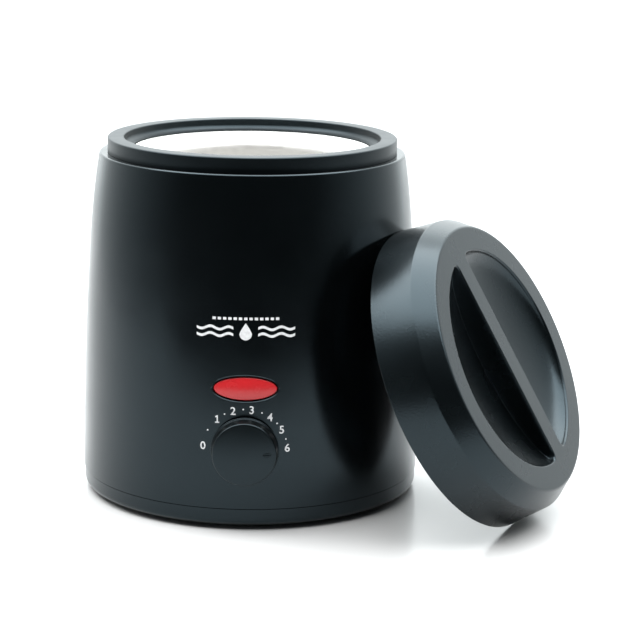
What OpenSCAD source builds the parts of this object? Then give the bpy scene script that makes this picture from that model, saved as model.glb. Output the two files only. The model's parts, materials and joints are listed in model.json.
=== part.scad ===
// Countertop wax warmer: a barrel-shaped housing with a heated well, a lift-out pot,
// a turning thermostat knob and a loose lid that leans against the housing.
// Millimetres. Z is up, the controls face -Y, and the origin is on the pot's axis at the floor.

/* [Housing] */
// Largest outer radius of the housing, at its foot
body_r = 75.1; // [70:0.1:80]
// Height of the shoulder that the lid sits on
shoulder_z = 151.2; // [148:0.2:156]
// Height of the seam between the shell and the base pan
seam_z = 9.75; // [9:0.25:12]
// Radius of the barrel curve of the side
side_arc = 1650; // [1200:50:2500]
// Radius of the tighter curve that is added towards the shoulder
shoulder_arc = 520; // [400:20:900]
// Wall of the mouldings
wall = 2.5; // [2:0.1:3]
// Gap under the base pan that the rubber feet make
foot_gap = 2; // [1.5:0.5:3]

/* [Collar and pot] */
// Outer radius of the raised collar
collar_r = 63.7; // [62:0.1:65]
// Height of the collar above the shoulder
collar_h = 6.6; // [5:0.2:8]
// Radius of the opening in the collar
mouth_r = 56.5; // [55:0.5:58]
// Inner radius of the lift-out pot
pot_r = 42; // [40:0.5:43]
// Inside depth of the lift-out pot below its lip
pot_depth = 85; // [70:1:86]

/* [Controls] */
// Height of the knob's axis
knob_z = 35.6; // [33:0.2:38]
// Radius of the knob at its back
knob_r = 14.5; // [13:0.5:16]
// How far the knob's face stands in front of its back
knob_h = 7.8; // [6:0.1:9]
// Angle of the pointer when the knob is at its highest setting, from the right
pointer_deg = 2; // [0:1:6]
// Height of the indicator lens
lens_z = 61.9; // [58:0.1:64]
// Half the width of the opening for the lens
lens_a = 13.9; // [10:0.1:14]
// Half the height of the opening for the lens
lens_b = 5.4; // [4:0.1:6]

/* [Lid] */
// Outer radius of the lid at its rim
lid_rim_r = 67.4; // [66.8:0.1:68]
// Outer radius of the lid where the skirt meets the chamfer
lid_skirt_r = 65.2; // [64.8:0.1:66]
// Height of the skirt
lid_skirt_h = 18.6; // [16:0.2:21]
// Radius of the flat face
lid_face_r = 59.2; // [58:0.2:61]
// Height of the lid
lid_h = 26.7; // [26:0.1:30]
// Radius of the two finger scoops
scoop_r = 48.5; // [45:0.5:50]
// Depth of the finger scoops
scoop_depth = 11.3; // [9:0.1:12]
// Half the width of the grip bar between the scoops
grip_half = 5.2; // [4:0.1:6]
// How the grip bar is turned in the lid's face
grip_turn = 12; // [-30:1:30]
// Compass direction that the lid leans in, from +X
lean_azimuth = -25.6; // [-60:0.2:0]
// Angle of the lid's axis above the floor
lean_rise = 25.6; // [20:0.2:40]

/* [Hidden] */
$fn = 96;
eps = 0.01;

// Housing
side_arc_z = 5;
shoulder_arc_z = 115;
side_steps = 24;
shoulder_round = 0.8;
collar_top = shoulder_z + collar_h;
ledge_r = 57.5;
band_inset = 0.4;
seam_gap = 0.4;
pan_top = foot_gap + 3;
pan_round = 2.5;
spigot_top = 13.5;
boss_orbit = 64.5;
boss_r = 4;
boss_top = 34;
foot_orbit = 58;
foot_r = 7;
foot_socket = 1.2;
vent_in = 22;
vent_out = 42;
vent_w = 3;

// Screws: shank and clearance radii, and the pilot holes they bite in
shank_r = 1.25;
pilot_r = 1.3;
clear_r = 1.8;
head_r = 2.8;
head_h = 1.6;

// Collar, well and pot
collar_under = 146.6;
spigot_r = 57.2;
shelf_r = 46.6;
seat_r = 53;
cove_top = collar_top - 2.1;
collar_screw_orbit = 60.4;
well_screw_orbit = 51.2;
pot_wall = 1.2;
flange_r = 52.6;
flange_z = collar_top - 5;
flange_drop = 1.95;
lip_z = flange_z - flange_drop - 1;
pot_floor = lip_z - pot_depth;
flange_gap = 0.3;
flange_slope = flange_drop / (flange_r - pot_r - 1.4);
well_r = pot_r + pot_wall + 1;
well_wall = 1.5;
well_floor = pot_floor - 2.1;
well_flange_r = 55.5;

// Heater
band_in = well_r + well_wall + 0.1;
band_t = 1.4;
band_low = 76;
band_high = 126;
strap_t = 0.6;
strap_low = 98;
strap_high = 104;
gap_half = 4;
blanket_in = 48.8;
blanket_out = 56;
shield_z = 50;
shield_r = 50;
stud_orbit = 30;

// Thermostat, knob and lamp. Depths are distances in front of the axis, along -Y
knob_back = 75.6;
knob_face_r = knob_r - 1;
knob_wall = 1.6;
hub_r = 5;
shaft_r = 3;
shaft_fit = 0.05;
shaft_in = 53.3;
bracket_y = 61;
bracket_t = 1.5;
bushing_end = 69.5;
bushing_r = 4.5;
stat_screw_x = 19;
stat_boss_end = 70.7;
lens_fit = 0.4;
lens_flange_y = 69.5;
lamp_back = 58.5;

// Cord gland, at the back
gland_z = 24;
gland_bore = 3.5;
gland_body = 6.8;
gland_nose = 86.5;
gland_face = 75.1;

// Lid
lid_wall = 2.4;
bowl_steps = 14;
lid_gap = 0.3;
lid_top_z = 2 * lid_rim_r * cos(lean_rise);
lid_x = side_r(lid_top_z) + lid_gap + lid_rim_r * sin(lean_rise);

// How far an arc of radius r has fallen away at distance d past its start
function fall(r, d) = d <= 0 ? 0 : r - sqrt(r * r - d * d);

// Outer radius of the housing's side at height z
function side_r(z) = body_r - fall(side_arc, z - side_arc_z) - fall(shoulder_arc, z - shoulder_arc_z);

// Points of the side curve, set in by inset, from height a to height b
function side_points(a, b, inset) =
    [for (i = [0:side_steps]) let (z = a + (b - a) * i / side_steps) [side_r(z) - inset, z]];

// Points of an arc about c
function arc(c, r, from, to, steps) =
    [for (i = [0:steps]) let (t = from + (to - from) * i / steps) [c[0] + r * cos(t), c[1] + r * sin(t)]];

// Points of an ellipse with half axes a and b
function oval(a, b, steps = 48) = [for (i = [0:steps - 1]) [a * cos(360 * i / steps), b * sin(360 * i / steps)]];

// A smooth line through hand-chosen points, with k stretches between each two
function through(p, k) = concat([for (i = [0:len(p) - 2], j = [0:k - 1])
    let (a = p[max(i - 1, 0)], b = p[i], c = p[i + 1], d = p[min(i + 2, len(p) - 1)], t = j / k)
    0.5 * ((2 * b) + (c - a) * t + (2 * a - 5 * b + 4 * c - d) * t * t + (3 * b - a - 3 * c + d) * t * t * t)],
    [p[len(p) - 1]]);

function unit(v) = v / norm(v);

// A round tube of radius r along the points of path
module tube(path, r, sides = 8) {
    n = len(path);
    aim = [for (i = [0:n - 1]) unit(path[min(i + 1, n - 1)] - path[max(i - 1, 0)])];
    side = [for (t = aim) unit(cross(t, [0.31, 0.17, 0.94]))];
    over = [for (i = [0:n - 1]) cross(aim[i], side[i])];
    points = [for (i = [0:n - 1], s = [0:sides - 1])
        path[i] + r * (cos(360 * s / sides) * side[i] + sin(360 * s / sides) * over[i])];
    walls = [for (i = [0:n - 2], s = [0:sides - 1]) let (q = (s + 1) % sides)
        [(i + 1) * sides + s, (i + 1) * sides + q, i * sides + q, i * sides + s]];
    ends = [[for (s = [0:sides - 1]) s], [for (s = [sides - 1:-1:0]) (n - 1) * sides + s]];
    polyhedron(points, concat(walls, ends));
}

// Places children at count equal steps round the axis, at radius orbit
module around(count, orbit, first = 0) {
    for (i = [0:count - 1])
        rotate([0, 0, first + i * 360 / count]) translate([orbit, 0, 0]) children();
}

// Puts a shape drawn along +Z onto the front, so that +Z runs out along -Y and +Y runs up
module on_front(z) {
    translate([0, 0, z]) rotate([90, 0, 0]) children();
}

// One foot in the middle and four round it
module foot_places() {
    children();
    around(4, foot_orbit) children();
}

// A pan-head screw standing on its head at height z, with its shank upward
module screw(z, length) {
    translate([0, 0, z]) difference() {
        union() {
            cylinder(h = head_h, r = head_r);
            cylinder(h = length, r = shank_r);
        }
        for (a = [0, 90]) rotate([0, 0, a]) translate([-1.6, -0.35, -eps]) cube([3.2, 0.7, 0.9]);
    }
}

// A tube with inner and outer radius from height a to height b
module ring(r_in, r_out, a, b) {
    translate([0, 0, a]) difference() {
        cylinder(h = b - a, r = r_out);
        translate([0, 0, -1]) cylinder(h = b - a + 2, r = r_in);
    }
}

module outer_shell() {
    fillet = arc([side_r(shoulder_z) - shoulder_round, shoulder_z - shoulder_round], shoulder_round, 0, 90, 4);
    profile = concat(side_points(seam_z, shoulder_z - shoulder_round, 0), fillet,
        [[ledge_r, shoulder_z], [ledge_r, shoulder_z - wall]],
        [for (i = [side_steps:-1:0]) side_points(seam_z, shoulder_z - wall, wall)[i]]);
    color("#16191b") difference() {
        union() {
            rotate_extrude() polygon(profile);
            for (i = [0:3]) rotate([0, 0, 45 + 90 * i]) {
                translate([boss_orbit, 0, pan_top]) cylinder(h = boss_top - pan_top, r = boss_r);
                translate([boss_orbit + 2, -1, 16]) cube([body_r - wall - boss_orbit - 1.2, 2, boss_top - 16]);
            }
            for (s = [-1, 1]) on_front(knob_z) translate([s * stat_screw_x, 0, bracket_y + bracket_t])
                cylinder(h = stat_boss_end - bracket_y - bracket_t, r = 3.6);
        }
        for (i = [0:3]) rotate([0, 0, 45 + 90 * i])
            translate([boss_orbit, 0, pan_top - 1]) cylinder(h = 16, r = pilot_r);
        around(4, collar_screw_orbit) translate([0, 0, shoulder_z - 2 * wall]) cylinder(h = 3 * wall, r = clear_r);
        for (s = [-1, 1]) on_front(knob_z) translate([s * stat_screw_x, 0, bracket_y])
            cylinder(h = 8, r = pilot_r);
        on_front(knob_z) translate([0, 0, body_r - 8]) cylinder(h = 12, r = shaft_r + 1);
        on_front(lens_z) translate([0, 0, body_r - 10]) linear_extrude(15) polygon(oval(lens_a, lens_b));
        translate([0, body_r - 10, gland_z]) rotate([-90, 0, 0]) cylinder(h = 15, r = gland_body + 0.2);
    }
}

module base_pan() {
    band_r = body_r - band_inset;
    profile = concat([[0, foot_gap], [band_r - pan_round, foot_gap]],
        arc([band_r - pan_round, foot_gap + pan_round], pan_round, -90, 0, 5),
        [[band_r, seam_z - seam_gap], [body_r - wall - 0.4, seam_z - seam_gap],
         [body_r - wall - 0.4, spigot_top], [body_r - 5, spigot_top], [body_r - 5, pan_top], [0, pan_top]]);
    color("#16191b") difference() {
        rotate_extrude() polygon(profile);
        for (i = [0:3]) rotate([0, 0, 45 + 90 * i]) translate([boss_orbit, 0, 0]) {
            cylinder(h = 10, r = clear_r);
            cylinder(h = foot_gap + head_h + 0.2, r = head_r + 0.6);
        }
        foot_places() cylinder(h = foot_gap + foot_socket, r = foot_r + 0.2);
        for (i = [0:11]) rotate([0, 0, 15 + 30 * i])
            translate([vent_in, -vent_w / 2, 0]) cube([vent_out - vent_in, vent_w, 10]);
    }
}

module rubber_feet() {
    color("#202020") foot_places() {
        cylinder(h = 1, r1 = foot_r - 1, r2 = foot_r);
        translate([0, 0, 1]) cylinder(h = foot_gap + foot_socket - 1, r = foot_r);
    }
}

module base_screws() {
    color("silver") around(4, boss_orbit, 45) screw(foot_gap + 0.2, 14);
}

module top_collar() {
    cove = [for (t = [0:-15:-90])
        [seat_r + (mouth_r - seat_r) * cos(t), cove_top + (cove_top - flange_z - 0.2) * sin(t)]];
    profile = concat([[shelf_r, collar_under], [spigot_r, collar_under], [spigot_r, shoulder_z],
        [collar_r, shoulder_z], [collar_r, collar_top - 0.6], [collar_r - 0.6, collar_top],
        [mouth_r + 0.5, collar_top], [mouth_r, collar_top - 0.5]],
        cove,
        [[seat_r, flange_z - pot_wall - flange_gap],
         [shelf_r, flange_z - pot_wall - flange_gap - flange_slope * (seat_r - shelf_r)]]);
    color("#16191b") difference() {
        rotate_extrude() polygon(profile);
        around(4, collar_screw_orbit) translate([0, 0, shoulder_z - 1]) cylinder(h = 5.5, r = pilot_r);
        around(4, well_screw_orbit, 45) translate([0, 0, collar_under - 1]) cylinder(h = 4, r = pilot_r);
    }
}

module collar_screws() {
    color("silver") around(4, collar_screw_orbit) screw(shoulder_z - wall - head_h, 8);
}

module heater_well() {
    color("#b9bcbe") difference() {
        union() {
            translate([0, 0, well_floor - 2]) cylinder(h = collar_under - well_floor + 2, r = well_r + well_wall);
            translate([0, 0, collar_under - well_wall]) cylinder(h = well_wall, r = well_flange_r);
        }
        translate([0, 0, well_floor]) cylinder(h = 200, r = well_r);
        around(4, well_screw_orbit, 45) translate([0, 0, collar_under - 5]) cylinder(h = 8, r = clear_r);
    }
}

module well_screws() {
    color("silver") around(4, well_screw_orbit, 45) screw(collar_under - well_wall - head_h, 5.6);
}

// A slot at the back that leaves the heater's ends apart
module back_gap(half) {
    translate([-half, 30, 0]) cube([2 * half, 60, 300]);
}

module band_heater() {
    color("#8c7a5a") difference() {
        ring(band_in, band_in + band_t, band_low, band_high);
        back_gap(gap_half);
    }
}

module heater_clamp() {
    r = band_in + band_t + 0.05;
    color("#c8c8c4") {
        difference() {
            ring(r, r + strap_t, strap_low, strap_high);
            back_gap(gap_half);
        }
        for (s = [-1, 1]) difference() {
            translate([s * (gap_half + 0.4) - 0.4, r - 0.1, strap_low])
                cube([0.8, 7.3, strap_high - strap_low]);
            translate([s * (gap_half + 0.4) - 2, r + 4.6, (strap_low + strap_high) / 2])
                rotate([0, 90, 0]) cylinder(h = 4, r = 1.6);
        }
    }
}

module clamp_screw() {
    r = band_in + band_t;
    color("silver") translate([-gap_half - 3, r + 4.65, (strap_low + strap_high) / 2]) rotate([0, 90, 0]) {
        cylinder(h = 2 * gap_half + 7, r = 1.5);
        cylinder(h = 2, r = 2.6);
        translate([0, 0, 2 * gap_half + 4]) cylinder(h = 2.2, r = 3.1, $fn = 6);
    }
}

module insulation_sleeve() {
    color("#e6e2d4") difference() {
        ring(blanket_in, blanket_out, well_floor, 142);
        back_gap(9);
    }
}

module heat_shield() {
    color("#aeb2b5") difference() {
        union() {
            translate([0, 0, shield_z]) cylinder(h = 0.8, r = shield_r);
            ring(shield_r - 0.8, shield_r, shield_z, shield_z + 6);
        }
        around(3, stud_orbit, 90) translate([0, 0, shield_z - 1]) cylinder(h = 3, r = 1.7);
        translate([-10, 36, shield_z - 1]) cube([20, 20, 10]);
    }
}

module shield_studs() {
    color("silver") around(3, stud_orbit, 90) {
        translate([0, 0, shield_z - 5]) cylinder(h = well_floor - 2 - shield_z + 5, r = 1.5);
        ring(1.5, 3, shield_z + 0.8, well_floor - 2);
        translate([0, 0, shield_z - 2.4]) difference() {
            cylinder(h = 2.4, r = 3.1, $fn = 6);
            translate([0, 0, -1]) cylinder(h = 5, r = 1.5);
        }
    }
}

module thermostat_body() {
    color("#e9e5da") difference() {
        translate([-15, -bracket_y, knob_z - 14]) cube([30, 14, 28]);
        on_front(knob_z) translate([0, 0, shaft_in - 0.3]) cylinder(h = 20, r = shaft_r + shaft_fit);
    }
    color("#b08d57") for (s = [-1, 1])
        translate([s * 8 - 3.2, -bracket_y + 14, knob_z + 2]) cube([6.4, 8, 0.8]);
}

module thermostat_bushing() {
    color("#c9b27a") on_front(knob_z) ring(shaft_r + shaft_fit, bushing_r, bracket_y, bushing_end);
}

module bushing_nut() {
    color("#c9b27a") on_front(knob_z) translate([0, 0, bracket_y + bracket_t]) difference() {
        cylinder(h = 3, r = 8, $fn = 6);
        translate([0, 0, -1]) cylinder(h = 5, r = bushing_r + 0.02);
    }
}

module thermostat_bracket() {
    color("#c8c8c4") difference() {
        translate([-24, -bracket_y - bracket_t, knob_z - 9]) cube([48, bracket_t, 18]);
        on_front(knob_z) translate([0, 0, bracket_y - 5]) cylinder(h = 10, r = bushing_r + 0.1);
        for (s = [-1, 1]) on_front(knob_z) translate([s * stat_screw_x, 0, bracket_y - 5]) cylinder(h = 10, r = clear_r);
    }
}

module bracket_screws() {
    color("silver") for (s = [-1, 1]) on_front(knob_z) translate([s * stat_screw_x, 0, 0])
        screw(bracket_y - head_h, 7);
}

// A round bar with a flat along one side
module flatted_bar(r, flat, length) {
    intersection() {
        cylinder(h = length, r = r);
        translate([-r - 1, -r - 1, 0]) cube([2 * r + 2, r + 1 + flat, length]);
    }
}

module thermostat_shaft() {
    color("#c9c9c4") on_front(knob_z) {
        translate([0, 0, shaft_in]) cylinder(h = knob_back - shaft_in, r = shaft_r);
        translate([0, 0, knob_back]) flatted_bar(shaft_r, 1.5, knob_h - 2);
    }
}

module control_knob() {
    top = knob_h;
    profile = concat([[knob_r - knob_wall, 0], [knob_r, 0], [knob_face_r + 0.2, top - 0.7]],
        arc([knob_face_r - 0.5, top - 0.7], 0.7, 0, 90, 4),
        [[0, top], [0, top - knob_wall], [knob_face_r - knob_wall, top - knob_wall]]);
    color("#16191b") on_front(knob_z) translate([0, 0, knob_back]) {
        difference() {
            rotate_extrude() polygon(profile);
            rotate([0, 0, pointer_deg]) translate([7.9, -0.7, top - 0.5]) cube([3.6, 1.4, 2]);
        }
        difference() {
            cylinder(h = top - knob_wall, r = hub_r);
            translate([0, 0, -1]) flatted_bar(shaft_r + 0.02, 1.52, top - knob_wall + 0.9);
        }
    }
}

module knob_clip() {
    color("#9fa3a6") on_front(knob_z) translate([0, 0, knob_back]) difference() {
        ring(hub_r + 0.03, hub_r + 0.6, 0.6, 4.6);
        translate([2, -1.5, -1]) cube([10, 3, 10]);
    }
}

module indicator_lens() {
    color("#d3262b") {
        intersection() {
            on_front(lens_z) translate([0, 0, lens_flange_y - eps])
                linear_extrude(10) polygon(oval(lens_a - lens_fit, lens_b - lens_fit));
            rotate_extrude() polygon(concat([[0, lens_z - 12]],
                [for (i = [0:8]) let (z = lens_z - 12 + 3 * i) [side_r(z) - 0.2, z]], [[0, lens_z + 12]]));
        }
        on_front(lens_z) translate([0, 0, lens_flange_y - 1.5]) linear_extrude(1.5) polygon(oval(15.6, 7.2));
    }
}

module lamp_holder() {
    front = lens_flange_y - 1.5;
    color("#e8e8e2") difference() {
        translate([-15, -front, lens_z - 6.5]) cube([30, front - lamp_back, 13]);
        translate([-13, -front - 1, lens_z - 4.5]) cube([26, front - lamp_back - 0.5, 9]);
        for (s = [-1, 1]) translate([s * 9, -front + 2, lens_z]) rotate([-90, 0, 0]) cylinder(h = 20, r = 1.1);
    }
}

module neon_lamp() {
    color("#ffb38a") translate([-8, -63.5, lens_z]) rotate([0, 90, 0]) {
        cylinder(h = 14, r = 2.4);
        translate([0, 0, 14]) sphere(r = 2.4);
    }
}

module thermal_fuse() {
    color("#d8d4c8") translate([-5.5, 12, well_floor - 4.3]) rotate([0, 90, 0]) {
        cylinder(h = 11, r = 2);
        translate([0, 0, -6]) cylinder(h = 23, r = 0.5);
    }
}

module fuse_clip() {
    color("#c8c8c4") difference() {
        translate([-4, 9.2, well_floor - 7]) cube([8, 12.8, 5]);
        translate([-10, 12, well_floor - 4.3]) rotate([0, 90, 0]) cylinder(h = 20, r = 2.02);
        translate([-5, 15, well_floor - 8]) cube([10, 10, 5]);
    }
}

module terminal_block() {
    color("#e4e0d2") difference() {
        translate([-17, 30, pan_top]) cube([34, 16, 14]);
        for (i = [-1:1]) {
            translate([i * 11, 25, pan_top + 6]) rotate([-90, 0, 0]) cylinder(h = 30, r = 2);
            translate([i * 11, 38, pan_top + 9.5]) cylinder(h = 10, r = 2.4);
        }
    }
}

module terminal_screws() {
    color("#c9b27a") for (i = [-1:1]) translate([i * 11, 38, pan_top + 9.6]) difference() {
        cylinder(h = 3, r = 2.2);
        translate([-3, -0.35, 2]) cube([6, 0.7, 2]);
    }
}

module cord_gland() {
    lip_in = 69.6;
    lip_out = 71.6;
    profile = [[gland_bore + 0.9, lip_in], [gland_body + 1.2, lip_in + 0.6], [gland_body + 1.2, lip_out],
        [gland_body, lip_out], [gland_body, gland_face], [9, gland_face], [9, gland_face + 1.4],
        [8.2, gland_face + 2.4], [gland_body - 0.4, gland_face + 2.9], [5.2, gland_nose - 0.6],
        [4.7, gland_nose], [gland_bore, gland_nose], [gland_bore, gland_face + 2.9],
        [gland_bore + 0.9, gland_face + 2]];
    color("#202020") translate([0, 0, gland_z]) rotate([-90, 0, 0]) rotate_extrude() polygon(profile);
}

// Internal wires, as round points chosen by hand
live_route = [[-11, 33, 11], [-11, 26, 11], [-12, 14, 13], [-16, 0, 22], [-16, -20, 34], [-11, -32, 39],
    [-8, -38.3, 37.8]];
feed_route = [[8, -38.3, 37.8], [12, -30, 40], [24, -12, 44], [40, 10, 44], [48, 30, 48], [34, 50, 56],
    [16, 59.5, 60], [7, 59, 68], [7, 52.5, 75], [7, 48.2, 80], [7, 47.95, 84]];
return_route = [[11, 33, 11], [11, 26, 11], [16, 21, 13], [23, 30, 24], [10, 50, 40], [-8, 59, 52], [-10, 60, 60],
    [-7, 59, 68], [-7, 52.5, 75], [-7, 48.2, 80], [-7, 47.95, 84]];
lamp_route_a = [[9, -62.4, 61.9], [9, -57, 61.9], [13, -54.5, 60], [22, -51, 53], [31, -43, 45], [34, -24, 38],
    [28, 0, 28], [8, 14, 14], [0, 26, 11], [0, 33, 11]];
lamp_route_b = [[-9, -62.4, 61.9], [-9, -57, 61.9], [-13, -54.5, 60], [-22, -51, 53], [-28, -44, 45],
    [-24, -34, 41], [-14, -35, 41], [-9.5, -41, 39.3]];

module live_lead() {
    color("#7a4a2a") tube(through(live_route, 5), 1.2);
}

module heater_leads() {
    color("#e8e8e2") {
        tube(through(feed_route, 4), 1.2);
        tube(through(return_route, 5), 1.2);
    }
}

module lamp_leads() {
    color("#2a5fb0") {
        tube(through(lamp_route_a, 5), 0.8);
        tube(through(lamp_route_b, 5), 0.8);
    }
}

module inner_pot() {
    slope_in = pot_r + 1.4;
    profile = [[0, pot_floor - 1.5], [pot_r - 1.2, pot_floor - 1.5], [pot_r + pot_wall, pot_floor + 1],
        [pot_r + pot_wall, flange_z - pot_wall - flange_slope * (flange_r - pot_r - pot_wall)],
        [flange_r, flange_z - pot_wall], [flange_r, flange_z], [slope_in, flange_z - flange_drop],
        [pot_r + 0.5, lip_z + 0.6], [pot_r, lip_z], [pot_r, pot_floor + 2], [pot_r - 2, pot_floor], [0, pot_floor]];
    color("#d9dadb") rotate_extrude() polygon(profile);
}

// Points of a quarter of the scoop's bowl, from its middle to its edge, deepened by extra
function bowl(extra) = [for (i = [0:bowl_steps]) let (t = 90 * i / bowl_steps)
    [(scoop_r + extra) * sin(t), lid_h - (scoop_depth + extra) * cos(t)]];

// Half of the scoop's bowl on one side of the grip bar, grown by extra
module half_bowl(side, extra) {
    intersection() {
        rotate_extrude() polygon(concat(bowl(extra), [[scoop_r + extra, lid_h + 5], [0, lid_h + 5]]));
        translate([side > 0 ? grip_half - extra : -100 - grip_half + extra, -100, 0]) cube([100, 200, 100]);
    }
}

// The lid on its rim, with its axis along +Z
module lid_upright() {
    slope = (lid_rim_r - lid_skirt_r) / lid_skirt_h;
    outside = [[0, 0], [lid_rim_r, 0], [lid_skirt_r, lid_skirt_h], [lid_face_r, lid_h], [0, lid_h]];
    inside = [[0, -1], [lid_rim_r - lid_wall + slope, -1], [lid_skirt_r - lid_wall, lid_skirt_h - 1],
        [lid_face_r - lid_wall + 0.6, lid_h - lid_wall], [0, lid_h - lid_wall]];
    difference() {
        rotate_extrude() polygon(outside);
        difference() {
            rotate_extrude() polygon(inside);
            for (s = [-1, 1]) half_bowl(s, lid_wall);
        }
        for (s = [-1, 1]) half_bowl(s, 0);
    }
}

module lid() {
    color("#16191b") rotate([0, 0, lean_azimuth]) translate([lid_x, 0, lid_rim_r * cos(lean_rise)])
        rotate([0, 90 - lean_rise, 0]) rotate([0, 0, 90 + grip_turn]) lid_upright();
}

outer_shell();
base_pan();
rubber_feet();
base_screws();
top_collar();
collar_screws();
heater_well();
well_screws();
band_heater();
heater_clamp();
clamp_screw();
insulation_sleeve();
heat_shield();
shield_studs();
thermostat_body();
thermostat_bushing();
bushing_nut();
thermostat_bracket();
bracket_screws();
thermostat_shaft();
control_knob();
knob_clip();
indicator_lens();
lamp_holder();
neon_lamp();
thermal_fuse();
fuse_clip();
terminal_block();
terminal_screws();
cord_gland();
live_lead();
heater_leads();
lamp_leads();
inner_pot();
lid();
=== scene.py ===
"""Looks for the wax warmer pot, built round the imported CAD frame. Metres, Z up, the controls face -Y."""
import json
import math

import bmesh
import bpy
import numpy as np
from mathutils import Matrix, Vector
from mathutils.geometry import tessellate_polygon


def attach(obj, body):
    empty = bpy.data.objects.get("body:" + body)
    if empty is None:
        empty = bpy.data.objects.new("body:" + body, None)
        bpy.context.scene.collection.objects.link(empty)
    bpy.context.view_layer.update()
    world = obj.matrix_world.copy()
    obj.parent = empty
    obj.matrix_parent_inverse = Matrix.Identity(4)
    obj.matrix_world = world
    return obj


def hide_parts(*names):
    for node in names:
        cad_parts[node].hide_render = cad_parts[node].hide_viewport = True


MM = 0.001
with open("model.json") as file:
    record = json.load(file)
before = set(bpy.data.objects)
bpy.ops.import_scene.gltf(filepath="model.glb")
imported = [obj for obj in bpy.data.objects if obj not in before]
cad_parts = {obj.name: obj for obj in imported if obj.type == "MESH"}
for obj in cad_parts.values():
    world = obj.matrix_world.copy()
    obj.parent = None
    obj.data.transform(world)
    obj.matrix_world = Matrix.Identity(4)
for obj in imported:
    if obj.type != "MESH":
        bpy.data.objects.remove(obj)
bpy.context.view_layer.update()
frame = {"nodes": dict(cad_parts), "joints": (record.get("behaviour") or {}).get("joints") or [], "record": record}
nodes = frame["nodes"]
joints = {joint["name"]: joint for joint in frame["joints"]}
scene = bpy.context.scene

# Sizes repeated from the CAD, in millimetres
BODY_R, SIDE_ARC, SHOULDER_ARC = 75.1, 1650, 520
SIDE_ARC_Z, SHOULDER_ARC_Z = 5, 115
SHOULDER_Z, COLLAR_TOP, COLLAR_R, MOUTH_R, LEDGE_R = 151.2, 157.8, 63.7, 56.5, 57.2
COLLAR_UNDER, SHELF_R, SEAT_R = 146.6, 46.6, 53.0
FLANGE_R, FLANGE_Z, POT_R, POT_WALL, POT_DEPTH = 52.6, 152.8, 42, 1.2, 85
KNOB_BACK, KNOB_R, KNOB_FACE_R, KNOB_H = 75.6, 14.5, 13.5, 7.8
KNOB_Z, POINTER_DEG = 35.6, 2
LENS_Z, LENS_A, LENS_B = 61.9, 13.9, 5.4
LID_RIM_R, LID_SKIRT_R, LID_SKIRT_H, LID_FACE_R, LID_H = 67.4, 65.2, 18.6, 59.2, 26.7
SCOOP_R, SCOOP_DEPTH, GRIP_HALF, GRIP_TURN, LID_WALL = 48.5, 11.3, 5.2, 12, 2.4


# ---------------------------------------------------------------- camera
CAMERA_AT = Vector((30.8, -963.1, 296.0)) * MM
CAMERA_DOWN = math.radians(12.91)
CAMERA_ROLL = math.radians(0.81)


def make_camera():
    data = bpy.data.cameras.new("camera")
    data.lens = 123.75
    data.sensor_width = 36.0
    camera = bpy.data.objects.new("camera", data)
    turn = Matrix.Rotation(math.pi / 2 - CAMERA_DOWN, 4, "X") @ Matrix.Rotation(CAMERA_ROLL, 4, "Z")
    camera.matrix_world = Matrix.Translation(CAMERA_AT) @ turn
    scene.collection.objects.link(camera)
    scene.camera = camera


make_camera()
scene.view_settings.view_transform = "Standard"


# ---------------------------------------------------------------- materials
def new_material(name, colour, roughness, metallic=0.0):
    mat = bpy.data.materials.new(name)
    mat.use_nodes = True
    shader = mat.node_tree.nodes["Principled BSDF"]
    shader.inputs["Base Color"].default_value = (*colour, 1)
    shader.inputs["Roughness"].default_value = roughness
    shader.inputs["Metallic"].default_value = metallic
    return mat


def noise(mat, cell, detail=2.0, stretch=(1, 1, 1)):
    """A noise texture whose cells are cell metres wide, stretched along an axis where asked."""
    tree = mat.node_tree
    place = tree.nodes.new("ShaderNodeTexCoord")
    scale = tree.nodes.new("ShaderNodeMapping")
    scale.inputs["Scale"].default_value = stretch
    texture = tree.nodes.new("ShaderNodeTexNoise")
    texture.inputs["Scale"].default_value = 1 / cell
    texture.inputs["Detail"].default_value = detail
    tree.links.new(place.outputs["Object"], scale.inputs["Vector"])
    tree.links.new(scale.outputs["Vector"], texture.inputs["Vector"])
    return texture.outputs["Fac"]


def spread(mat, value, low, high, low_in=0.3, high_in=0.7):
    """Maps a 0 to 1 value onto low to high."""
    tree = mat.node_tree
    ranged = tree.nodes.new("ShaderNodeMapRange")
    ranged.inputs["From Min"].default_value = low_in
    ranged.inputs["From Max"].default_value = high_in
    ranged.inputs["To Min"].default_value = low
    ranged.inputs["To Max"].default_value = high
    tree.links.new(value, ranged.inputs["Value"])
    return ranged.outputs["Result"]


def add_bump(mat, height, depth, strength=1.0):
    """Adds a bump of the given depth in metres, after any bump that is there."""
    tree = mat.node_tree
    shader = tree.nodes["Principled BSDF"]
    bump = tree.nodes.new("ShaderNodeBump")
    bump.inputs["Distance"].default_value = depth
    bump.inputs["Strength"].default_value = strength
    tree.links.new(height, bump.inputs["Height"])
    if shader.inputs["Normal"].is_linked:
        tree.links.new(shader.inputs["Normal"].links[0].from_socket, bump.inputs["Normal"])
    tree.links.new(bump.outputs["Normal"], shader.inputs["Normal"])


def vary_roughness(mat, value, low, high):
    shader = mat.node_tree.nodes["Principled BSDF"]
    mat.node_tree.links.new(spread(mat, value, low, high), shader.inputs["Roughness"])


def vary_colour(mat, value, first, second):
    """Blends between two close colours by a 0 to 1 value."""
    tree = mat.node_tree
    mix = tree.nodes.new("ShaderNodeMix")
    mix.data_type = "RGBA"
    mix.inputs["A"].default_value = (*first, 1)
    mix.inputs["B"].default_value = (*second, 1)
    tree.links.new(spread(mat, value, 0, 1), mix.inputs["Factor"])
    tree.links.new(mix.outputs["Result"], tree.nodes["Principled BSDF"].inputs["Base Color"])


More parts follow.
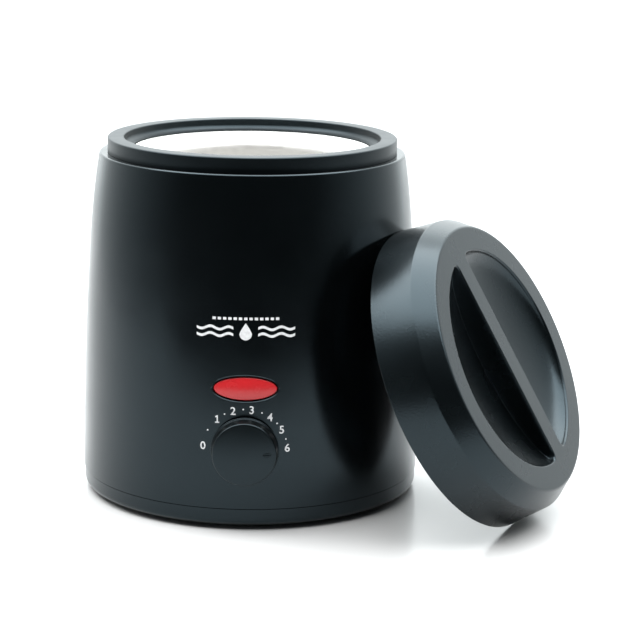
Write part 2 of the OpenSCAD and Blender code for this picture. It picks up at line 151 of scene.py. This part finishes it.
def moulded(name, colour, roughness, cell=0.0005, depth=0.000004):
    """Black moulded plastic: a fine spark-eroded grain and slightly uneven gloss."""
    mat = new_material(name, colour, roughness)
    vary_roughness(mat, noise(mat, 0.02, 3), roughness - 0.03, roughness + 0.03)
    lighter = tuple(c * 1.5 for c in colour)
    vary_colour(mat, noise(mat, 0.0012), colour, lighter)
    add_bump(mat, noise(mat, cell), depth)
    return mat


def metal(name, colour, roughness, cell=0.0004, depth=0.000002, stretch=(1, 1, 1)):
    mat = new_material(name, colour, roughness, 1.0)
    vary_roughness(mat, noise(mat, 0.004, 3, stretch), roughness - 0.06, roughness + 0.06)
    add_bump(mat, noise(mat, cell, 2, stretch), depth)
    return mat


def dull(name, colour, roughness, cell, depth):
    mat = new_material(name, colour, roughness)
    vary_colour(mat, noise(mat, cell * 4), colour, tuple(c * 0.8 for c in colour))
    add_bump(mat, noise(mat, cell), depth)
    return mat


body_black = moulded("body_black", (0.0005, 0.0007, 0.0008), 0.22)
collar_black = moulded("collar_black", (0.0005, 0.0007, 0.0008), 0.4)
lid_black = moulded("lid_black", (0.0006, 0.0009, 0.001), 0.26, 0.0008, 0.00004)
knob_black = moulded("knob_black", (0.0006, 0.0009, 0.001), 0.33)
for plastic, ior in ((body_black, 1.45), (collar_black, 1.4), (lid_black, 1.45), (knob_black, 1.43)):
    shader = plastic.node_tree.nodes["Principled BSDF"]
    shader.inputs["Specular Tint"].default_value = (0.66, 0.88, 1, 1)
    shader.inputs["IOR"].default_value = ior
rubber = dull("rubber", (0.012, 0.012, 0.012), 0.75, 0.0004, 0.00001)
lens_red = new_material("lens_red", (0.5, 0.016, 0.02), 0.25)
vary_roughness(lens_red, noise(lens_red, 0.006), 0.22, 0.28)
pot_metal = metal("pot_metal", (0.7, 0.69, 0.67), 0.45, stretch=(1, 1, 12))
sheet_metal = metal("sheet_metal", (0.75, 0.76, 0.77), 0.35)
steel = metal("steel", (0.58, 0.58, 0.56), 0.3)
brass = metal("brass", (0.7, 0.5, 0.22), 0.28)
heater = metal("heater", (0.42, 0.36, 0.26), 0.45)
felt = dull("felt", (0.72, 0.7, 0.62), 0.95, 0.0008, 0.0003)
ceramic = dull("ceramic", (0.78, 0.75, 0.68), 0.6, 0.0005, 0.00002)
white_plastic = dull("white_plastic", (0.78, 0.77, 0.73), 0.45, 0.0006, 0.00001)
lead_jacket = dull("lead_jacket", (0.03, 0.05, 0.16), 0.5, 0.0006, 0.00001)
sleeving = dull("sleeving", (0.75, 0.74, 0.7), 0.9, 0.0005, 0.0001)
print_white = dull("print_white", (0.8, 0.81, 0.82), 0.5, 0.0003, 0.000004)
lamp_glass = new_material("lamp_glass", (0.95, 0.6, 0.45), 0.06)
vary_roughness(lamp_glass, noise(lamp_glass, 0.002), 0.04, 0.09)

FINISH = {
    "housing_plastic": body_black, "collar_plastic": collar_black, "lid_plastic": lid_black,
    "knob_plastic": knob_black, "rubber": rubber, "red_lens": lens_red, "pot_aluminium": pot_metal,
    "well_aluminium": sheet_metal, "plated_steel": steel, "brass": brass, "heater_sheath": heater,
    "insulation_felt": felt, "steatite": ceramic, "white_plastic": white_plastic,
    "lamp_glass": lamp_glass, "lead_jacket": lead_jacket, "sleeving": sleeving,
}
slots = {part["node"]: part["material_slot"] for part in frame["record"]["subparts"]}
for name, obj in nodes.items():
    obj.data.materials.clear()
    obj.data.materials.append(FINISH[slots[name]])


# ---------------------------------------------------------------- mesh helpers
def add_piece(name, verts, faces, body, slot, replaces=(), material=None, sharp=40):
    """Makes a closed mesh piece from points in millimetres and lets it ride on a CAD body."""
    mesh = bpy.data.meshes.new(name)
    mesh.from_pydata([tuple(c * MM for c in v) for v in verts], [], faces)
    work = bmesh.new()
    work.from_mesh(mesh)
    bmesh.ops.remove_doubles(work, verts=work.verts, dist=1e-6)
    bmesh.ops.dissolve_degenerate(work, edges=work.edges, dist=1e-7)
    bmesh.ops.recalc_face_normals(work, faces=work.faces)
    work.to_mesh(mesh)
    work.free()
    finish_piece(name, mesh, body, slot, replaces, material, sharp)
    return bpy.data.objects[name]


def finish_piece(name, mesh, body, slot, replaces=(), material=None, sharp=40):
    mesh.polygons.foreach_set("use_smooth", [True] * len(mesh.polygons))
    mesh.set_sharp_from_angle(angle=math.radians(sharp))
    mesh.materials.clear()
    mesh.materials.append(material or FINISH[slot])
    piece = bpy.data.objects.new(name, mesh)
    scene.collection.objects.link(piece)
    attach(piece, body)
    if replaces:
        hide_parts(*replaces)


def rounded(corners, steps=6):
    """The closed outline through corners (r, z, fillet), with each corner rounded by its fillet."""
    out = []
    count = len(corners)
    for i, (x, y, fillet) in enumerate(corners):
        here = np.array((x, y), float)
        before = np.array(corners[i - 1][:2], float) - here
        after = np.array(corners[(i + 1) % count][:2], float) - here
        a, b = np.linalg.norm(before), np.linalg.norm(after)
        if fillet <= 0:
            out.append(tuple(here))
            continue
        before, after = before / a, after / b
        half = math.acos(max(-1, min(1, float(before @ after)))) / 2
        reach = min(fillet / math.tan(half), 0.49 * a, 0.49 * b)
        radius = reach * math.tan(half)
        middle = (before + after) / np.linalg.norm(before + after)
        centre = here + middle * radius / math.sin(half)
        start, end = here + before * reach - centre, here + after * reach - centre
        swing = math.atan2(start[0] * end[1] - start[1] * end[0], float(start @ end))
        for k in range(steps + 1):
            t = swing * k / steps
            turn = np.array(((math.cos(t), -math.sin(t)), (math.sin(t), math.cos(t))))
            out.append(tuple(centre + turn @ start))
    return out


def lathe(profile, segments=192, closed=True):
    """Points and faces of a profile (r, z) turned about Z."""
    verts = [(r * math.cos(t), r * math.sin(t), z) for r, z in profile
             for t in (2 * math.pi * k / segments for k in range(segments))]
    rows = len(profile)
    faces = []
    for i in range(rows if closed else rows - 1):
        j = (i + 1) % rows
        for k in range(segments):
            m = (k + 1) % segments
            faces.append((i * segments + k, i * segments + m, j * segments + m, j * segments + k))
    return verts, faces


def fall(radius, distance):
    return 0 if distance <= 0 else radius - math.sqrt(radius * radius - distance * distance)


def side_r(z):
    """Outer radius of the housing's side at height z."""
    return BODY_R - fall(SIDE_ARC, z - SIDE_ARC_Z) - fall(SHOULDER_ARC, z - SHOULDER_ARC_Z)


def on_front(x, z, proud):
    """The point in front of the housing's side at x and z, standing proud of it."""
    r = side_r(z) + proud
    return (x, -math.sqrt(r * r - x * x), z)


# ---------------------------------------------------------------- shell, collar and pot
def side_normal(x, y, z):
    """The direction the housing's side faces, from its two arcs; z in millimetres."""
    below, above = max(0, z - SIDE_ARC_Z), max(0, z - SHOULDER_ARC_Z)
    slope = below / math.sqrt(SIDE_ARC ** 2 - below ** 2) + above / math.sqrt(SHOULDER_ARC ** 2 - above ** 2)
    reach = math.hypot(x, y)
    return Vector((x / reach, y / reach, slope)).normalized()


def make_shell():
    """The housing shell, shaded as a true curve instead of flat steps."""
    mesh = nodes["outer_shell"].data.copy()
    finish_piece("shell_skin", mesh, "housing", "housing_plastic", ["outer_shell"], body_black, 35)
    corners = [Vector(corner.vector) for corner in mesh.corner_normals]
    for face in mesh.polygons:
        for loop in face.loop_indices:
            x, y, z = mesh.vertices[mesh.loops[loop].vertex_index].co
            on_side = abs(math.hypot(x, y) / MM - side_r(z / MM)) < 0.03
            if on_side and face.normal.dot(side_normal(x, y, z / MM)) > 0.995:
                corners[loop] = side_normal(x, y, z / MM)
    mesh.normals_split_custom_set(corners)


def make_collar():
    cove = [(SEAT_R + (MOUTH_R - SEAT_R) * math.cos(t),
             COLLAR_TOP - 2.1 - (COLLAR_TOP - 2.1 - FLANGE_Z - 0.2) * math.sin(t), 0)
            for t in (math.pi / 24 * k for k in range(13))]
    outline = [(SHELF_R, COLLAR_UNDER, 0), (LEDGE_R, COLLAR_UNDER, 0), (LEDGE_R, SHOULDER_Z, 0),
               (COLLAR_R, SHOULDER_Z, 0.2), (COLLAR_R, COLLAR_TOP, 0.7), (MOUTH_R, COLLAR_TOP, 0.6),
               *cove, (SEAT_R, FLANGE_Z - 1.5, 0), (SHELF_R, FLANGE_Z - 2.85, 0)]
    verts, faces = lathe(rounded(outline), 256)
    add_piece("collar_ring", verts, faces, "housing", "collar_plastic", ["top_collar"])


def make_pot():
    floor = FLANGE_Z - 2.95 - POT_DEPTH
    neck_z = FLANGE_Z - 2.25
    bend = 7
    outline = [(0, floor - 1.5, 0), (POT_R + POT_WALL, floor - 1.5, 3),
               (POT_R + POT_WALL, neck_z - POT_WALL + 0.25, bend - POT_WALL),
               (FLANGE_R, FLANGE_Z - POT_WALL, 0.55), (FLANGE_R, FLANGE_Z, 0.55),
               (POT_R, neck_z, bend), (POT_R, floor, 3), (0, floor, 0)]
    verts, faces = lathe(rounded(outline, 8), 256)
    add_piece("pot_liner", verts, faces, "pot", "pot_aluminium", ["inner_pot"], pot_metal)


# ---------------------------------------------------------------- knob
def make_knob():
    crown = 1.1
    face = [(KNOB_FACE_R * k / 12, KNOB_H - crown * (k / 12) ** 2, 0) for k in range(12)]
    outline = [*face, (KNOB_FACE_R, KNOB_H - crown, 0.7), (KNOB_R - 0.5, 1.0, 0.3), (KNOB_R, 0.9, 0.25),
               (KNOB_R, 0, 0.2), (KNOB_R - 1.6, 0, 0.2), (KNOB_R - 2.6, KNOB_H - 1.6, 0.5),
               (5, KNOB_H - 1.6, 0.3), (5, 0.1, 0.2), (0, 0.1, 0)]
    verts, faces = lathe(rounded(outline, 5), 160)
    knob = add_piece("knob_cap", verts, faces, "knob", "knob_plastic", ["control_knob"], knob_black)
    # A shallow pointer dimple near the edge of the face
    work = bmesh.new()
    bmesh.ops.create_uvsphere(work, u_segments=32, v_segments=16, radius=1.0)
    shape = Matrix.Diagonal((1.8, 0.9, 0.8, 1))
    swing = Matrix.Rotation(math.radians(POINTER_DEG), 4, "Z")
    place = swing @ Matrix.Translation((9.6, 0, KNOB_H - crown / 2))
    scale = Matrix.Diagonal((MM, MM, MM, 1))
    bmesh.ops.transform(work, matrix=scale @ place @ shape, verts=work.verts)
    cutter_mesh = bpy.data.meshes.new("cutter")
    work.to_mesh(cutter_mesh)
    work.free()
    cutter = bpy.data.objects.new("cutter", cutter_mesh)
    scene.collection.objects.link(cutter)
    cut = knob.modifiers.new("pointer", "BOOLEAN")
    cut.operation = "DIFFERENCE"
    cut.solver = "EXACT"
    cut.object = cutter
    bpy.context.view_layer.update()
    made = bpy.data.meshes.new_from_object(knob.evaluated_get(bpy.context.evaluated_depsgraph_get()))
    knob.modifiers.clear()
    knob.data = made
    bpy.data.objects.remove(cutter)
    on_housing = Matrix.Translation((0, -KNOB_BACK * MM, KNOB_Z * MM))
    made.transform(on_housing @ Matrix.Rotation(math.pi / 2, 4, "X"))
    made.set_sharp_from_angle(angle=math.radians(40))


# ---------------------------------------------------------------- indicator lens
def ellipse_loop(a, b, proud, segments=96):
    return [on_front(a * math.cos(t), LENS_Z + b * math.sin(t), proud)
            for t in (2 * math.pi * k / segments for k in range(segments))]


def stack(loops, cap_first=True, cap_last=True):
    """Joins loops of equal length into a skin, with a fan over the first and the last."""
    n = len(loops[0])
    verts = [v for loop in loops for v in loop]
    faces = []
    for i in range(len(loops) - 1):
        for k in range(n):
            m = (k + 1) % n
            faces.append((i * n + k, i * n + m, (i + 1) * n + m, (i + 1) * n + k))
    for wanted, at in ((cap_first, 0), (cap_last, len(loops) - 1)):
        if wanted:
            faces.append(tuple(at * n + k for k in range(n)))
    return verts, faces


def make_lens():
    a, b = LENS_A - 0.6, LENS_B - 0.55
    loops = [ellipse_loop(a, b, -4)]
    loops += [ellipse_loop(a, b, -0.6)]
    edge = 0.5
    for k in range(7):
        t = math.pi / 2 * k / 6
        inset = edge * (1 - math.cos(t))
        loops.append(ellipse_loop(a - inset, b - inset, -0.6 + edge * math.sin(t)))
    for k in range(1, 12):
        share = 1 - k / 12
        crown = 0.5 * (1 - share ** 2)
        loops.append(ellipse_loop((a - edge) * share, (b - edge) * share, -0.1 + crown))
    verts, faces = stack(loops)
    add_piece("lens_dome", verts, faces, "housing", "red_lens", ["indicator_lens"], lens_red)


def make_bezel():
    """A low lip round the lens opening, gently sloped outside and steeper towards the lens."""
    segments = 128
    section = rounded([(0.75, -0.1, 0), (0.5, 0.3, 0.12), (-0.02, -0.1, 0.05),
                       (-0.02, -1.4, 0), (0.75, -1.4, 0)])
    loops = [[on_front((LENS_A + out) * math.cos(t), LENS_Z + (LENS_B + out) * math.sin(t), proud)
              for out, proud in section] for t in (2 * math.pi * k / segments for k in range(segments))]
    verts, faces = stack(loops + [loops[0]], False, False)
    add_piece("lens_bezel", verts, faces, "housing", "housing_plastic", (), body_black, 60)


# ---------------------------------------------------------------- printing on the front
DIAL = [("6", 3), ("5", 30), ("4", 54), ("3", 81), ("2", 106.5), ("1", 131.5), ("0", 175)]
DOTS = [15.5, 41, 66.5, 92.5, 119, 152]
DIAL_R = 17.8
INK = 0.05


def glyph(text, x, z, size):
    """Points and faces of one numeral, laid on the front of the housing."""
    curve = bpy.data.curves.new("glyph", "FONT")
    curve.body = text
    curve.size = size
    curve.align_x = "CENTER"
    curve.align_y = "CENTER"
    curve.extrude = INK / 2
    curve.offset = 0.07
    holder = bpy.data.objects.new("glyph", curve)
    scene.collection.objects.link(holder)
    bpy.context.view_layer.update()
    flat = bpy.data.meshes.new_from_object(holder.evaluated_get(bpy.context.evaluated_depsgraph_get()))
    low = min(v.co.y for v in flat.vertices)
    high = max(v.co.y for v in flat.vertices)
    middle = (low + high) / 2
    verts = [on_front(x + v.co.x, z + v.co.y - middle, INK + v.co.z) for v in flat.vertices]
    faces = [tuple(p.vertices) for p in flat.polygons]
    bpy.data.objects.remove(holder)
    return verts, faces


def stroke(x0, z0, x1, z1, width):
    """A straight stroke printed on the front of the housing, as points and faces."""
    run = math.hypot(x1 - x0, z1 - z0)
    across = ((z0 - z1) / run * width / 2, (x1 - x0) / run * width / 2)
    corners = [(x0 + across[0], z0 + across[1]), (x0 - across[0], z0 - across[1]),
               (x1 - across[0], z1 - across[1]), (x1 + across[0], z1 + across[1])]
    return stack([[on_front(x, z, proud) for x, z in corners] for proud in (0.02, INK * 1.5)])


def one(x, z, height):
    """The numeral one, with a flag and a foot."""
    low, high = z - height / 2, z + height / 2
    stem = stroke(x + 0.1, low, x + 0.1, high, 0.55)
    flag = stroke(x - 0.75, high - 0.8, x + 0.2, high - 0.2, 0.5)
    foot = stroke(x - 0.8, low + 0.25, x + 0.95, low + 0.25, 0.5)
    return joined([stem, flag, foot])


def disc(x, z, radius, segments=20):
    loops = [[on_front(x + radius * math.cos(t), z + radius * math.sin(t), proud)
              for t in (2 * math.pi * k / segments for k in range(segments))] for proud in (0.02, INK * 1.5)]
    return stack(loops)


def band(xs, low, high):
    """A printed shape between two heights, as functions of x, cut into narrow strips."""
    verts, faces = [], []
    for x in xs:
        for proud in (0.02, INK * 1.5):
            verts += [on_front(x, low(x), proud), on_front(x, high(x), proud)]
    last = 4 * (len(xs) - 1)
    for i in range(0, last, 4):
        faces += [(i + 2, i + 6, i + 7, i + 3), (i, i + 1, i + 5, i + 4),
                  (i, i + 4, i + 6, i + 2), (i + 1, i + 3, i + 7, i + 5)]
    faces += [(0, 2, 3, 1), (last, last + 1, last + 3, last + 2)]
    return verts, faces


def joined(parts):
    verts, faces = [], []
    for v, f in parts:
        start = len(verts)
        verts += v
        faces += [tuple(i + start for i in face) for face in f]
    return verts, faces


def make_dial():
    parts = []
    for text, deg in DIAL:
        t = math.radians(deg)
        x, z = DIAL_R * math.cos(t), KNOB_Z - 0.2 + DIAL_R * math.sin(t)
        parts.append(one(x, z, 3.3) if text == "1" else glyph(text, x, z, 4.7))
    for deg in DOTS:
        t = math.radians(deg)
        parts.append(disc(DIAL_R * math.cos(t), KNOB_Z - 0.2 + DIAL_R * math.sin(t), 0.34))
    verts, faces = joined(parts)
    add_piece("dial_print", verts, faces, "housing", "white_plastic", (), print_white)


def make_emblem():
    """A plain drop between pairs of waves, under a row of small dashes."""
    middle = 86.3
    parts = []

    def wave(x):
        return middle + 0.6 * math.sin(2 * math.pi * (abs(x) - 5.2) / 7.65)

    for side in (-1, 1):
        xs = [side * (5.2 + 15.3 * k / 60) for k in range(61)]
        for lift in (-1.4, 1.4):
            parts.append(band(xs, lambda x: wave(x) + lift - 0.55, lambda x: wave(x) + lift + 0.55))
    radius = 2.6
    xs = [-radius * math.cos(math.pi * k / 24) for k in range(25)]

    def drop_low(x):
        return middle - 1.0 - math.sqrt(max(0, radius * radius - x * x))

    def drop_high(x):
        return middle - 1.0 + 4.6 * (1 - abs(x) / radius) ** 0.8 + 0.02

    parts.append(band(xs, drop_low, drop_high))
    for k in range(-6, 7):
        xs = [k * 2.2 - 0.7 + 0.35 * j for j in range(5)]
        parts.append(band(xs, lambda x: 91.2, lambda x: 92.3))
    verts, faces = joined(parts)
    add_piece("emblem_print", verts, faces, "housing", "white_plastic", (), print_white)


# ---------------------------------------------------------------- lid
def lid_pose():
    """The lid's turn and the middle of its rim, from its joint and its CAD node."""
    n = joints["lid_pull"]["axis"]
    azimuth = math.atan2(n[1], n[0])
    rise = math.asin(n[2] / math.sqrt(sum(c * c for c in n)))
    turn = (Matrix.Rotation(azimuth, 3, "Z") @ Matrix.Rotation(math.pi / 2 - rise, 3, "Y")
            @ Matrix.Rotation(math.radians(90 + GRIP_TURN), 3, "Z"))
    turn = np.array(turn)
    points = np.array([v.co for v in nodes["lid"].data.vertices]) @ turn / MM
    low, high = points.min(0), points.max(0)
    middle = np.array(((low[0] + high[0]) / 2, (low[1] + high[1]) / 2, low[2]))
    return turn, turn @ middle


def smooth_min(a, b, k):
    h = np.clip(0.5 + 0.5 * (b - a) / k, 0, 1)
    return b * (1 - h) + a * h - k * h * (1 - h)


def scoop(grip, radius, depth, roll, corner):
    """Loops over half of a scoop at x >= grip, from the flat face round it to its deepest part.
    Each loop is an array of points (x, y, depth below the face)."""
    peak = (radius - grip) / 2
    centre = np.array((grip + peak, 0.0))
    reach = math.sqrt(radius * radius - grip * grip)
    along = np.sin(np.linspace(-math.pi / 2, math.pi / 2, 81))[:-1] * reach
    edge = [(grip, y) for y in along]
    sweep = math.atan2(reach, grip)
    edge += [(radius * math.cos(t), radius * math.sin(t)) for t in np.linspace(sweep, -sweep, 161)[:-1]]
    rays = np.array(edge) - centre
    rays /= np.linalg.norm(rays, axis=1)[:, None]

    def inside(points):
        return smooth_min(points[:, 0] - grip, radius - np.hypot(points[:, 0], points[:, 1]), corner)

    def depth_at(points, d):
        r = np.hypot(points[:, 0], points[:, 1])
        bowl = np.maximum(depth * np.sqrt(np.clip(1 - (r / radius) ** 2, 0, 1)), roll)
        foot = np.clip(0.5 * (bowl - roll), 0, 0.2)
        gap = np.clip(foot - (d - 0.3), 0, foot)
        bowl = bowl - (foot - np.sqrt(np.maximum(foot ** 2 - gap ** 2, 0)))
        rolled = roll - np.sqrt(np.clip(roll ** 2 - (d - 0.1 + roll) ** 2, 0, roll ** 2))
        wall = roll + (bowl - roll) * (d - 0.1) / 0.2
        return np.where(d < 0.1 - roll, 0, np.where(d < 0.1, rolled, np.where(d < 0.3, wall, bowl)))

    levels = [-roll - 0.5, -roll - 0.1]
    levels += [0.1 - roll * math.cos(t) for t in np.linspace(0, math.pi / 2, 8)]
    levels += [0.14, 0.18, 0.22, 0.26, 0.3, 0.34, 0.4, 0.5, 0.65, 0.85, 1.1, 1.4, 1.8, 2.3, 3.0]
    levels += list(np.linspace(4, 0.96 * (peak - corner / 4), 16))
    loops = []
    for level in levels:
        low, high = np.zeros(len(rays)), np.full(len(rays), 3 * radius)
        for _ in range(40):
            mid = (low + high) / 2
            deeper = inside(centre + rays * mid[:, None]) > level
            low, high = np.where(deeper, mid, low), np.where(deeper, high, mid)
        points = centre + rays * low[:, None]
        loops.append(np.column_stack((points, depth_at(points, np.full(len(rays), level)))))
    bottom = float(depth_at(centre[None], np.array([peak - corner / 4]))[0])
    return loops, (centre[0], 0.0, bottom)


def scoop_skin(sides, plane, rim):
    """Both half scoops sunk into a flat disc at height plane, whose rim is a loop of points."""
    verts = [tuple(p) for p in rim]
    faces = []
    holes = []
    for side, args in sides:
        loops, bottom = scoop(*args)
        n = len(loops[0])
        start = len(verts)
        for loop in loops:
            verts += [(side * x, y, plane - d) for x, y, d in loop]
        for i in range(len(loops) - 1):
            for k in range(n):
                m = (k + 1) % n
                a, b = start + i * n, start + (i + 1) * n
                faces.append((a + k, a + m, b + m, b + k))
        verts.append((side * bottom[0], bottom[1], plane - bottom[2]))
        last = start + (len(loops) - 1) * n
        faces += [(last + k, last + (k + 1) % n, len(verts) - 1) for k in range(n)]
        holes.append(list(range(start, start + n)))
    outlines = [list(range(len(rim)))] + holes
    order = [i for outline in outlines for i in outline]
    flat = tessellate_polygon([[Vector((verts[i][0], verts[i][1], 0)) for i in outline]
                               for outline in outlines])
    faces += [tuple(order[i] for i in face) for face in flat]
    return verts, faces


def make_lid():
    turn, middle = lid_pose()
    segments = 288
    under = LID_H - LID_WALL
    outline = [(0, LID_H, 0), (0, under, 0), (LID_FACE_R - LID_WALL + 0.6, under, 1.5),
               (LID_SKIRT_R - LID_WALL, LID_SKIRT_H - 1, 2), (LID_RIM_R - LID_WALL, 0, 0.3),
               (LID_RIM_R, 0, 0.3), (LID_SKIRT_R, LID_SKIRT_H, 1.5), (LID_FACE_R, LID_H, 1.6)]
    ring = rounded(outline, 8)
    first_flat, last_flat = ring[2], ring[-1]
    wall, wall_faces = lathe([(first_flat[0] - 1, under)] + ring[2:] + [(last_flat[0] - 1, LID_H)],
                             segments, closed=False)
    inner_rim = wall[:segments]
    outer_rim = wall[-segments:]
    top = [(side, (GRIP_HALF, SCOOP_R, SCOOP_DEPTH, 0.55, 4.5)) for side in (-1, 1)]
    below = [(side, (GRIP_HALF - LID_WALL, SCOOP_R + LID_WALL, SCOOP_DEPTH + LID_WALL, 0.55, 4.5))
             for side in (-1, 1)]
    verts, faces = joined([(wall, wall_faces), scoop_skin(top, LID_H, outer_rim),
                           scoop_skin(below, under, inner_rim)])
    verts = [tuple(turn @ np.array(v) + middle) for v in verts]
    add_piece("lid_cover", verts, faces, "lid_body", "lid_plastic", ["lid"], lid_black, 50)


make_shell()
make_collar()
make_pot()
make_knob()
make_lens()
make_bezel()
make_dial()
make_emblem()
make_lid()


# ---------------------------------------------------------------- studio
def make_world():
    """White paper behind the object, and a room that is dark in front and bright behind."""
    world = bpy.data.worlds.new("studio")
    scene.world = world
    world.use_nodes = True
    tree = world.node_tree
    tree.nodes.clear()
    out = tree.nodes.new("ShaderNodeOutputWorld")
    place = tree.nodes.new("ShaderNodeTexCoord")
    split = tree.nodes.new("ShaderNodeSeparateXYZ")
    depth = tree.nodes.new("ShaderNodeMapRange")
    depth.inputs["From Min"].default_value = -1.0
    ramp = tree.nodes.new("ShaderNodeValToRGB")
    stops = [(0.0, 0.035), (0.15, 0.05), (0.25, 0.13), (0.37, 0.28), (0.5, 0.45),
             (0.72, 0.72), (0.82, 0.85), (0.9, 1.35), (1.0, 1.35)]
    ramp.color_ramp.elements[0].position = stops[0][0]
    ramp.color_ramp.elements[1].position = stops[-1][0]
    for at, _ in stops[1:-1]:
        ramp.color_ramp.elements.new(at)
    for element, (_, grey) in zip(ramp.color_ramp.elements, stops):
        element.color = (grey * 0.93, grey * 0.99, grey, 1)
    upper = tree.nodes.new("ShaderNodeMapRange")
    upper.inputs["From Min"].default_value = 0.2
    upper.inputs["From Max"].default_value = 0.7
    upper.inputs["To Min"].default_value = 1.6
    upper.inputs["To Max"].default_value = 3.6
    room = tree.nodes.new("ShaderNodeBackground")
    paper = tree.nodes.new("ShaderNodeBackground")
    paper.inputs["Color"].default_value = (1, 1, 1, 1)
    path = tree.nodes.new("ShaderNodeLightPath")
    mix = tree.nodes.new("ShaderNodeMixShader")
    link = tree.links.new
    link(place.outputs["Generated"], split.inputs["Vector"])
    link(split.outputs["Y"], depth.inputs["Value"])
    link(depth.outputs["Result"], ramp.inputs["Fac"])
    link(ramp.outputs["Color"], room.inputs["Color"])
    link(split.outputs["Z"], upper.inputs["Value"])
    link(upper.outputs["Result"], room.inputs["Strength"])
    link(path.outputs["Is Camera Ray"], mix.inputs["Fac"])
    link(room.outputs["Background"], mix.inputs[1])
    link(paper.outputs["Background"], mix.inputs[2])
    link(mix.outputs["Shader"], out.inputs["Surface"])


def area_light(name, at, towards, size, power):
    data = bpy.data.lights.new(name, "AREA")
    data.shape = "RECTANGLE"
    data.size, data.size_y = size
    data.energy = power
    light = bpy.data.objects.new(name, data)
    aim = (Vector(towards) - Vector(at)).to_track_quat("-Z", "Y").to_matrix().to_4x4()
    light.matrix_world = Matrix.Translation(at) @ aim
    scene.collection.objects.link(light)


def make_floor():
    mesh = bpy.data.meshes.new("floor")
    x, near, far = 0.6, -0.34, 3.0
    mesh.from_pydata([(-x, near, 0), (x, near, 0), (x, far, 0), (-x, far, 0)], [], [(0, 1, 2, 3)])
    floor = bpy.data.objects.new("floor", mesh)
    scene.collection.objects.link(floor)
    white = new_material("floor_white", (0.5, 0.5, 0.5), 0.2)
    white.node_tree.nodes["Principled BSDF"].inputs["IOR"].default_value = 1.3
    mesh.materials.append(white)


make_world()
make_floor()
area_light("overhead", (0.0, -0.08, 1.1), (0.0, -0.08, 0.0), (2.6, 1.25), 66.0)
